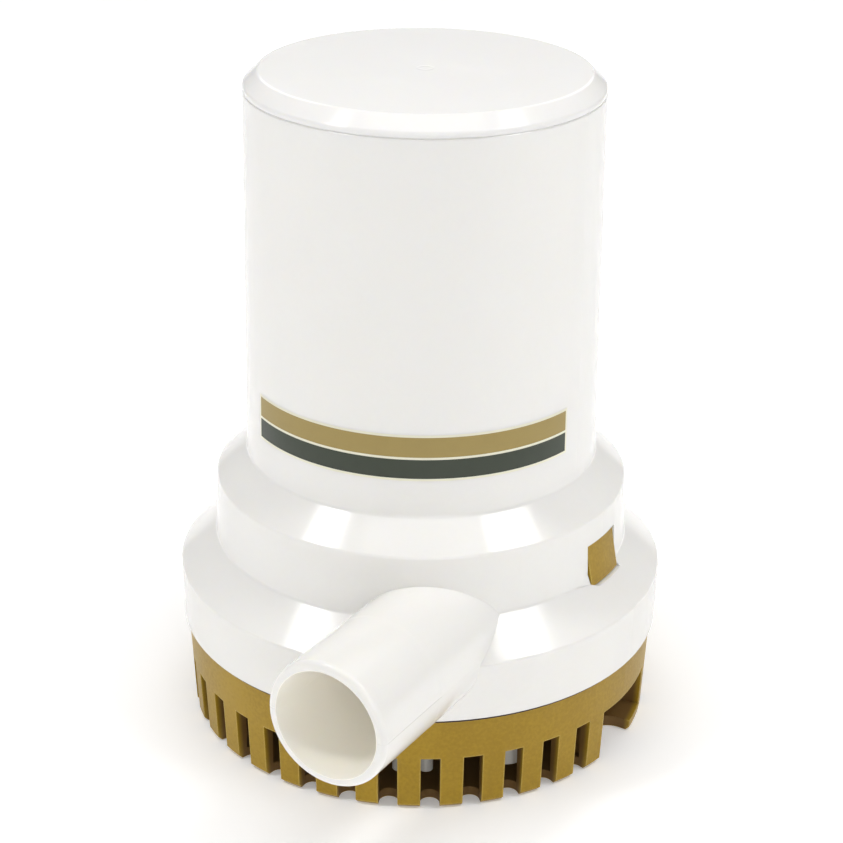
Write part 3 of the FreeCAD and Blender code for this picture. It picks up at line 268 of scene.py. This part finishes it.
@dataclass(frozen=True)
class WhiteShell(MouldedPlastic):
    """The white mouldings, with painted warm light and a painted glow in the outlet bore, a mould line
    and the cap's gate mark.
    """

    grain_wear: float = 0.03
    glow: float = 0.2
    # Painted light in the outlet bore: a warmer, brighter colour standing in for light bounced around
    # inside it.
    bore_painted_light: Colour = (0.965, 0.94, 0.87)
    # Painted glow in the outlet bore: emission standing in for light that comes through the wall.
    bore_painted_glow: Colour = (0.055, 0.051, 0.045)
    outlet_x: float = 25.0 * MM
    outlet_z: float = 38.1 * MM
    bore_radius: float = 12.35 * MM
    bore_start: float = 30.0 * MM
    seam_start: float = 56.5 * MM
    seam_core: float = 0.05 * MM
    seam_edge: float = 0.22 * MM
    gate_radius: float = 1.6 * MM
    gate_height: float = 153.0 * MM
    mark_depth: float = 0.05 * MM

    def build(self) -> bpy.types.Material:
        """Return the material."""
        graph = Graph(self.name)
        x, y, z = graph.axes()
        across, above, outward = x - self.outlet_x, z - self.outlet_z, -1.0 * y
        reach = (across * across + above * above) ** 0.5 / self.bore_radius
        bore = (1.0 - reach.above(1.0)) * outward.above(self.bore_start)
        line = 1.0 - above.abs().ramp(self.seam_core, self.seam_edge)
        seam = line * outward.above(self.seam_start)
        middle = (x * x + y * y) ** 0.5 / self.gate_radius
        gate = (1.0 - (middle - 1.0).abs().ramp(0.05, 0.35)) * z.above(self.gate_height)
        colour, roughness, skin = self.moulded(graph)
        return graph.finish(
            # The bore's colour is painted warm bounce light.
            Base_Color=graph.mix(bore, colour, self.bore_painted_light),
            Roughness=roughness + 0.25 * bore,
            Normal=graph.relief(seam - gate * 0.6, self.mark_depth, skin),
            Subsurface_Weight=self.glow,
            Subsurface_Radius=GLOW_REACH,
            Subsurface_Scale=GLOW_DEPTH,
            # The bore's emission is a painted glow, standing in for light through the wall.
            Emission_Color=graph.mix(bore, BLACK, self.bore_painted_glow),
            Emission_Strength=1.0,
        )


@dataclass(frozen=True)
class GoldMoulding(MouldedPlastic):
    """The gold base: satin plastic, with a painted highlight on its sharp edges, painted shade inside
    its slots and a painted shadow band along its top edge.
    """

    # Painted shade: the dark brown laid inside the slots.
    painted_slot_shade: Colour = (0.17, 0.095, 0.026)
    # Painted highlight: lighter gold laid along the sharp edges.
    painted_edge_highlight: Colour = (0.68, 0.50, 0.13)
    # Painted shadow: a dark band along the top edge, under the housing's flange.
    painted_gap_shadow: Colour = (0.045, 0.022, 0.03)
    wall_inside: float = 52.3 * MM
    wall_outside: float = 54.05 * MM
    lean: float = 0.047
    # Heights where the painted shadow band along the top edge begins and ends.
    shadow_band_start: float = 22.8 * MM
    shadow_band_end: float = 22.95 * MM
    lip_limit: float = 26.0 * MM
    underside: float = 0.1 * MM
    # How far the painted edge highlight reaches from each sharp edge.
    highlight_radius: float = 0.5 * MM

    def build(self) -> bpy.types.Material:
        """Return the material."""
        graph = Graph(self.name)
        x, y, z = graph.axes()
        radius = (x * x + y * y) ** 0.5 - z * self.lean
        below_lip = 1.0 - z.above(self.lip_limit)
        # Mask of the slots' insides, dark at the inner wall and fading out towards the outer face; it
        # carries the painted shade and a rougher surface.
        inside = (1.0 - radius.ramp(self.wall_inside, self.wall_outside)) * z.above(self.underside)
        inside = inside * below_lip
        # Painted shadow band along the top edge, under the flange; it also falls on the latch arms.
        gap_shadow = z.ramp(self.shadow_band_start, self.shadow_band_end) * below_lip
        flow = graph.noise(38.0, 5.0, graph.stretched((1.0, 1.0, 0.5)))
        flake = graph.cells(2600.0)
        grain = graph.noise(1300.0, 3.0)
        tone = (flow * 0.55 + grain * 0.45).ramp(0.38, 0.64) * self.mottling
        moulded = graph.mix(tone, self.colour, self.shade)
        # Painted highlight along the sharp edges.
        edge_highlighted = graph.mix(graph.edges(self.highlight_radius) * 0.85, moulded, self.painted_edge_highlight)
        # Painted shade inside the slots.
        with_slot_shade = graph.mix(inside, edge_highlighted, self.painted_slot_shade)
        skin = graph.relief(
            graph.noise(700.0, 3.0) + flake * 0.5, self.peel, graph.rounded(self.edge)
        )
        return graph.finish(
            # Painted shadow band along the top edge, over everything else.
            Base_Color=graph.mix(gap_shadow, with_slot_shade, self.painted_gap_shadow),
            Roughness=self.roughness + 0.08 * grain + 0.06 * flake + 0.2 * inside,
            Normal=skin,
            Specular_IOR_Level=self.sheen,
        )


@dataclass(frozen=True)
class Metal:
    """Drawn, turned or stamped metal with brushing along one direction."""

    name: str
    colour: Colour
    shade: Colour
    roughness: float
    lines: Colour = (40.0, 40.0, 1400.0)
    depth: float = 0.003 * MM

    def build(self) -> bpy.types.Material:
        """Return the material."""
        graph = Graph(self.name)
        brushing = graph.noise(1.0, 4.0, graph.stretched(self.lines))
        stain = graph.noise(90.0, 4.0).ramp(0.45, 0.7)
        return graph.finish(
            Base_Color=graph.mix(stain * 0.6 + brushing * 0.25, self.colour, self.shade),
            Metallic=1.0,
            Roughness=self.roughness + 0.15 * brushing + 0.08 * stain,
            Normal=graph.relief(brushing, self.depth, graph.rounded(0.15 * MM)),
        )


@dataclass(frozen=True)
class Granular:
    """Rubber, carbon, ferrite and other matt pressed materials with a fine grain."""

    name: str
    colour: Colour
    shade: Colour
    roughness: float
    grain: float = 1800.0
    depth: float = 0.02 * MM

    def build(self) -> bpy.types.Material:
        """Return the material."""
        graph = Graph(self.name)
        pores = graph.cells(self.grain)
        cloud = graph.noise(120.0, 5.0).ramp(0.4, 0.65)
        return graph.finish(
            Base_Color=graph.mix(cloud, self.colour, self.shade),
            Roughness=self.roughness + 0.12 * pores,
            Normal=graph.relief(pores + cloud * 0.5, self.depth, graph.rounded(0.2 * MM)),
        )


@dataclass(frozen=True)
class Laminated:
    """Thin steel sheets stacked along Z, with a dark line at each joint."""

    name: str
    colour: Colour
    shade: Colour
    sheet: float = 0.5 * MM

    def build(self) -> bpy.types.Material:
        """Return the material."""
        graph = Graph(self.name)
        height = graph.axes()[2] / self.sheet
        joint = (height.fraction() - 0.5).abs().ramp(0.36, 0.48)
        rust = graph.noise(260.0, 5.0).ramp(0.5, 0.72)
        return graph.finish(
            Base_Color=graph.mix(joint * 0.7 + rust * 0.3, self.colour, self.shade),
            Metallic=0.9,
            Roughness=0.42 + 0.2 * joint + 0.1 * rust,
            Normal=graph.relief(1.0 - joint, 0.03 * MM),
        )


@dataclass(frozen=True)
class Wound:
    """Enamelled copper wire laid in close turns."""

    name: str
    colour: Colour
    shade: Colour
    wire: float = 0.6 * MM
    lay: float = 0.35

    def build(self) -> bpy.types.Material:
        """Return the material."""
        graph = Graph(self.name)
        x, y, z = graph.axes()
        radius = (x * x + y * y) ** 0.5
        turn = (radius + z * self.lay) / self.wire
        strand = 1.0 - ((turn.fraction() - 0.5) * 2.0).abs() ** 2.0
        tint = graph.noise(200.0, 3.0)
        return graph.finish(
            # Each turn is lighter along its crown and darker in the grooves between turns: painted
            # shade, mixed with a random tint.
            Base_Color=graph.mix(tint * strand, self.shade, self.colour),
            Metallic=0.85,
            Roughness=0.34 - 0.1 * strand,
            Coat_Weight=0.6,
            Normal=graph.relief(strand, 0.22 * MM),
        )


@dataclass(frozen=True)
class Ink:
    """Printing ink on plastic: thin, satin, with a fine screen grain."""

    name: str
    colour: Colour
    shade: Colour

    def build(self) -> bpy.types.Material:
        """Return the material."""
        graph = Graph(self.name)
        screen = graph.noise(2600.0, 2.0)
        patch = graph.noise(300.0, 4.0).ramp(0.45, 0.7)
        return graph.finish(
            Base_Color=graph.mix(screen * 0.35 + patch * 0.25, self.colour, self.shade),
            Roughness=0.36 + 0.1 * screen,
            Normal=graph.relief(screen, 0.004 * MM),
        )


class Finish(Enum):
    """Every finish on the pump."""

    WHITE = WhiteShell(
        "white_gloss_plastic", (0.885, 0.872, 0.845), (0.855, 0.842, 0.805), 0.13,
    )
    CAP = WhiteShell(
        "cap_gloss_plastic", (0.90, 0.888, 0.87), (0.875, 0.86, 0.835), 0.12,
    )
    PLATE = MouldedPlastic("plate_plastic", (0.74, 0.73, 0.69), (0.66, 0.64, 0.58), 0.3)
    GOLD = GoldMoulding(
        "gold_plastic", (0.40, 0.252, 0.016), (0.31, 0.185, 0.01), 0.34,
        mottling=0.8, peel=0.006 * MM, edge=0.3 * MM, sheen=0.28,
    )
    ACETAL = MouldedPlastic("acetal", (0.72, 0.71, 0.66), (0.62, 0.6, 0.52), 0.34)
    NYLON = MouldedPlastic("black_nylon", (0.03, 0.03, 0.032), (0.015, 0.015, 0.016), 0.4)
    RUBBER = Granular("black_rubber", (0.018, 0.018, 0.019), (0.035, 0.035, 0.036), 0.55)
    NITRILE = Granular("nitrile_rubber", (0.025, 0.025, 0.027), (0.045, 0.044, 0.043), 0.5)
    FERRITE = Granular("ferrite", (0.045, 0.046, 0.05), (0.075, 0.075, 0.08), 0.5, 900.0)
    CARBON = Granular("carbon", (0.03, 0.03, 0.032), (0.06, 0.058, 0.055), 0.42, 2400.0)
    BRONZE = Granular("sintered_bronze", (0.42, 0.25, 0.1), (0.3, 0.17, 0.06), 0.38, 3000.0)
    STAINLESS = Metal("stainless", (0.6, 0.6, 0.59), (0.45, 0.45, 0.45), 0.2)
    SHAFT = Metal("ground_steel", (0.66, 0.66, 0.66), (0.5, 0.5, 0.52), 0.14, (900.0, 900.0, 60.0))
    ZINC = Metal("zinc_plate", (0.55, 0.55, 0.53), (0.42, 0.42, 0.4), 0.3)
    SPRING = Metal("spring_wire", (0.5, 0.5, 0.5), (0.3, 0.3, 0.31), 0.24)
    BRASS = Metal("stamped_brass", (0.72, 0.52, 0.2), (0.52, 0.34, 0.12), 0.26)
    COPPER = Metal("turned_copper", (0.74, 0.36, 0.2), (0.5, 0.22, 0.11), 0.24)
    CORE = Laminated("core_sheets", (0.3, 0.3, 0.31), (0.1, 0.085, 0.075))
    WIRE = Wound("enamelled_wire", (0.55, 0.2, 0.07), (0.25, 0.08, 0.03))
    INK_GOLD = Ink("gold_ink", (0.366, 0.27, 0.08), (0.33, 0.24, 0.068))
    INK_DARK = Ink("charcoal_ink", (0.034, 0.045, 0.026), (0.025, 0.032, 0.02))
    INK_CREAM = Ink("cream_ink", (0.86, 0.84, 0.68), (0.8, 0.78, 0.6))


class Paints:
    """Builds each finish once and hands it out."""

    def __init__(self) -> None:
        """Start with nothing built."""
        self.made: dict[Finish, bpy.types.Material] = {}

    def get(self, finish: Finish) -> bpy.types.Material:
        """Return the material of a finish."""
        if finish not in self.made:
            self.made[finish] = finish.value.build()
        return self.made[finish]

    def wear(self, piece: bpy.types.Object, finish: Finish) -> None:
        """Give a piece one finish all over."""
        piece.data.materials.clear()
        piece.data.materials.append(self.get(finish))


NODE_FINISHES: dict[str, Finish] = {
    "pump_housing": Finish.WHITE,
    "top_cap": Finish.CAP,
    "strainer_base": Finish.GOLD,
    "latch_arm_right": Finish.GOLD,
    "latch_arm_left": Finish.GOLD,
    "intake_plate": Finish.PLATE,
    "intake_plate_screws": Finish.STAINLESS,
    "lead_gland": Finish.RUBBER,
    "impeller": Finish.ACETAL,
    "motor_shaft": Finish.SHAFT,
    "shaft_seal": Finish.NITRILE,
    "seal_keeper": Finish.STAINLESS,
    "motor_yoke": Finish.ZINC,
    "lower_bearing": Finish.BRONZE,
    "upper_bearing": Finish.BRONZE,
    "motor_end_plate": Finish.NYLON,
    "terminal_tabs": Finish.BRASS,
    "magnet_front": Finish.FERRITE,
    "magnet_rear": Finish.FERRITE,
    "armature_core": Finish.CORE,
    "armature_windings": Finish.WIRE,
    "commutator": Finish.COPPER,
    "thrust_washers": Finish.ACETAL,
    "brush_holder_right": Finish.BRASS,
    "brush_holder_left": Finish.BRASS,
    "brush_right": Finish.CARBON,
    "brush_left": Finish.CARBON,
    "brush_spring_right": Finish.SPRING,
    "brush_spring_left": Finish.SPRING,
    "lower_motor_ring": Finish.NITRILE,
    "upper_motor_ring": Finish.NITRILE,
}


# ------------------------------------------------------------------ pieces
def mesh_object(name: str, shape: bmesh.types.BMesh) -> bpy.types.Object:
    """Turn a bmesh into an object at the origin.

    Args:
        name: The piece's name.
        shape: The bmesh, which is freed.

    Returns:
        The object, linked to the scene.
    """
    mesh = bpy.data.meshes.new(name)
    shape.to_mesh(mesh)
    shape.free()
    made = bpy.data.objects.new(name, mesh)
    bpy.context.scene.collection.objects.link(made)
    return made


@dataclass
class PrintedBands:
    """The two plain bands printed on the front of the can, with their pale edging."""

    paints: Paints
    can_foot: Vector = field(default_factory=lambda: Vector((40.4, 65.3)) * MM)
    can_head: Vector = field(default_factory=lambda: Vector((39.4, 149.1)) * MM)
    start: float = math.radians(-31.0)
    end: float = math.radians(82.2)
    bottom: float = 74.5 * MM
    dark_height: float = 4.4 * MM
    gold_height: float = 4.6 * MM
    edging: float = 0.55 * MM
    lift: float = 0.04 * MM
    layer: float = 0.02 * MM
    steps: int = 96

    def radius(self, height: float) -> float:
        """Return the can's radius at a height."""
        share = (height - self.can_foot.y) / (self.can_head.y - self.can_foot.y)
        return self.can_foot.x + share * (self.can_head.x - self.can_foot.x)

    def strip(
        self, name: str, low: float, high: float, margin: float, lift: float,
    ) -> bpy.types.Object:
        """Return a strip that hugs the can.

        Args:
            name: The piece's name.
            low: The strip's lowest height.
            high: Its highest height.
            margin: How far it runs past the bands' ends.
            lift: How far it stands off the can.

        Returns:
            The piece.
        """
        shape = bmesh.new()
        inner = self.radius(low)
        first = shape.verts.new((0.0, -(inner + lift), low))
        second = shape.verts.new((0.0, -(self.radius(high) + lift), high))
        edge = shape.edges.new((first, second))
        sweep = self.end - self.start + 2.0 * margin / inner
        bmesh.ops.rotate(
            shape, verts=shape.verts, cent=(0.0, 0.0, 0.0),
            matrix=Matrix.Rotation(self.start - margin / inner, 3, "Z"),
        )
        bmesh.ops.spin(
            shape, geom=[first, second, edge], cent=(0.0, 0.0, 0.0), axis=(0.0, 0.0, 1.0),
            angle=sweep, steps=self.steps,
        )
        bmesh.ops.recalc_face_normals(shape, faces=shape.faces)
        if shape.faces[0].normal.dot(shape.faces[0].calc_center_median()) < 0.0:
            bmesh.ops.reverse_faces(shape, faces=shape.faces)
        made = mesh_object(name, shape)
        made.data.shade_smooth()
        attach(made, "pump")
        return made

    def build(self) -> None:
        """Print the edging first and the two bands on it."""
        gold_low = self.bottom + self.dark_height + self.edging
        top = gold_low + self.gold_height
        rows = (
            ("band_edging", self.bottom - self.edging, top + self.edging, self.edging,
             self.lift, Finish.INK_CREAM),
            ("band_charcoal", self.bottom, self.bottom + self.dark_height, 0.0,
             self.lift + self.layer, Finish.INK_DARK),
            ("band_gold", gold_low, top, 0.0, self.lift + self.layer, Finish.INK_GOLD),
        )
        for name, low, high, margin, lift, finish in rows:
            piece = self.strip(name, low, high, margin, lift)
            self.paints.wear(piece, finish)
            LOG.info("%s printed", name)


# ------------------------------------------------------------------ studio
@dataclass(frozen=True)
class SoftBox:
    """One area light, placed by angles in degrees from the camera's own azimuth."""

    name: str
    azimuth: float
    elevation: float
    distance: float
    size: tuple[float, float]
    power: float


SOFT_BOXES = (
    SoftBox("left_box", -76.0, 57.0, 1.2, (0.2, 0.26), 3.4),
    SoftBox("right_box", 76.0, 57.0, 1.2, (0.42, 0.26), 3.6),
    SoftBox("front_box", 6.0, 15.0, 1.3, (0.7, 0.5), 2.0),
    SoftBox("back_box", 180.0, 40.0, 2.2, (2.6, 1.4), 13.0),
    SoftBox("top_box", 0.0, 84.0, 1.7, (1.3, 0.9), 5.5),
)


@dataclass
class Studio:
    """A pale floor, soft lights and the camera."""

    distance: float = 0.4862
    azimuth: float = math.radians(30.8)
    elevation: float = math.radians(24.22)
    target_height: float = 0.0698
    lens: float = 89.64
    roll: float = math.radians(0.61)
    floor_size: float = 3.0
    light_height: float = 0.07
    room_colour: Colour = (1.0, 0.995, 0.985)
    room_strength: float = 0.36

    def camera(self) -> None:
        """Create the camera at the viewing angle."""
        data = bpy.data.cameras.new("view_camera")
        data.lens = self.lens
        data.sensor_width = 36.0
        data.clip_start = 0.01
        made = bpy.data.objects.new("view_camera", data)
        flat = self.distance * math.cos(self.elevation)
        made.location = (
            flat * math.sin(self.azimuth),
            -flat * math.cos(self.azimuth),
            self.target_height + self.distance * math.sin(self.elevation),
        )
        aim = Vector((0.0, 0.0, self.target_height)) - Vector(made.location)
        turn = aim.to_track_quat("-Z", "Y").to_matrix() @ Matrix.Rotation(self.roll, 3, "Z")
        made.rotation_euler = turn.to_euler()
        bpy.context.scene.collection.objects.link(made)
        bpy.context.scene.camera = made

    def floor(self) -> None:
        """Lay the pale floor under the pump."""
        shape = bmesh.new()
        bmesh.ops.create_grid(shape, x_segments=1, y_segments=1, size=self.floor_size)
        made = mesh_object("studio_floor", shape)
        graph = Graph("floor_paper")
        made.data.materials.append(
            graph.finish(
                Base_Color=graph.mix(graph.noise(3.0) * 0.3, (0.93, 0.93, 0.93), (0.9, 0.9, 0.9)),
                Roughness=0.9,
                Specular_IOR_Level=0.1,
                Emission_Color=(1.0, 1.0, 1.0),
                Emission_Strength=0.2,
            )
        )

    def hang(self, box: SoftBox) -> None:
        """Hang one soft box that faces the pump."""
        data = bpy.data.lights.new(box.name, "AREA")
        data.shape = "RECTANGLE"
        data.size, data.size_y = box.size
        data.energy = box.power
        made = bpy.data.objects.new(box.name, data)
        place = self.around(box.azimuth, box.elevation, box.distance)
        made.location = place
        aim = Vector((0.0, 0.0, self.light_height)) - place
        made.rotation_euler = aim.to_track_quat("-Z", "Y").to_euler()
        bpy.context.scene.collection.objects.link(made)

    def around(self, azimuth: float, elevation: float, distance: float) -> Vector:
        """Return a point seen at angles, in degrees, from the camera's own azimuth."""
        turn = self.azimuth + math.radians(azimuth)
        rise = math.radians(elevation)
        flat = distance * math.cos(rise)
        return Vector((flat * math.sin(turn), -flat * math.cos(turn), distance * math.sin(rise)))

    def lights(self) -> None:
        """Set the soft boxes and the pale surroundings."""
        for box in SOFT_BOXES:
            self.hang(box)
        world = bpy.data.worlds.new("pale_room")
        world.use_nodes = True
        background = world.node_tree.nodes["Background"]
        background.inputs["Color"].default_value = (*self.room_colour, 1.0)
        background.inputs["Strength"].default_value = self.room_strength
        scene = bpy.context.scene
        scene.world = world
        scene.view_settings.view_transform = "Standard"

    def build(self) -> None:
        """Set up the whole studio."""
        self.camera()
        self.floor()
        self.lights()


def main() -> None:
    """Dress the pump, print its bands and set up the studio."""
    logging.basicConfig(level=logging.INFO, format="%(message)s")
    paints = Paints()
    Studio().build()
    for node, finish in NODE_FINISHES.items():
        paints.wear(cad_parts[node], finish)
        LOG.info("%s wears %s", node, finish.value.name)
    PrintedBands(paints).build()


if __name__ == "__main__":
    main()
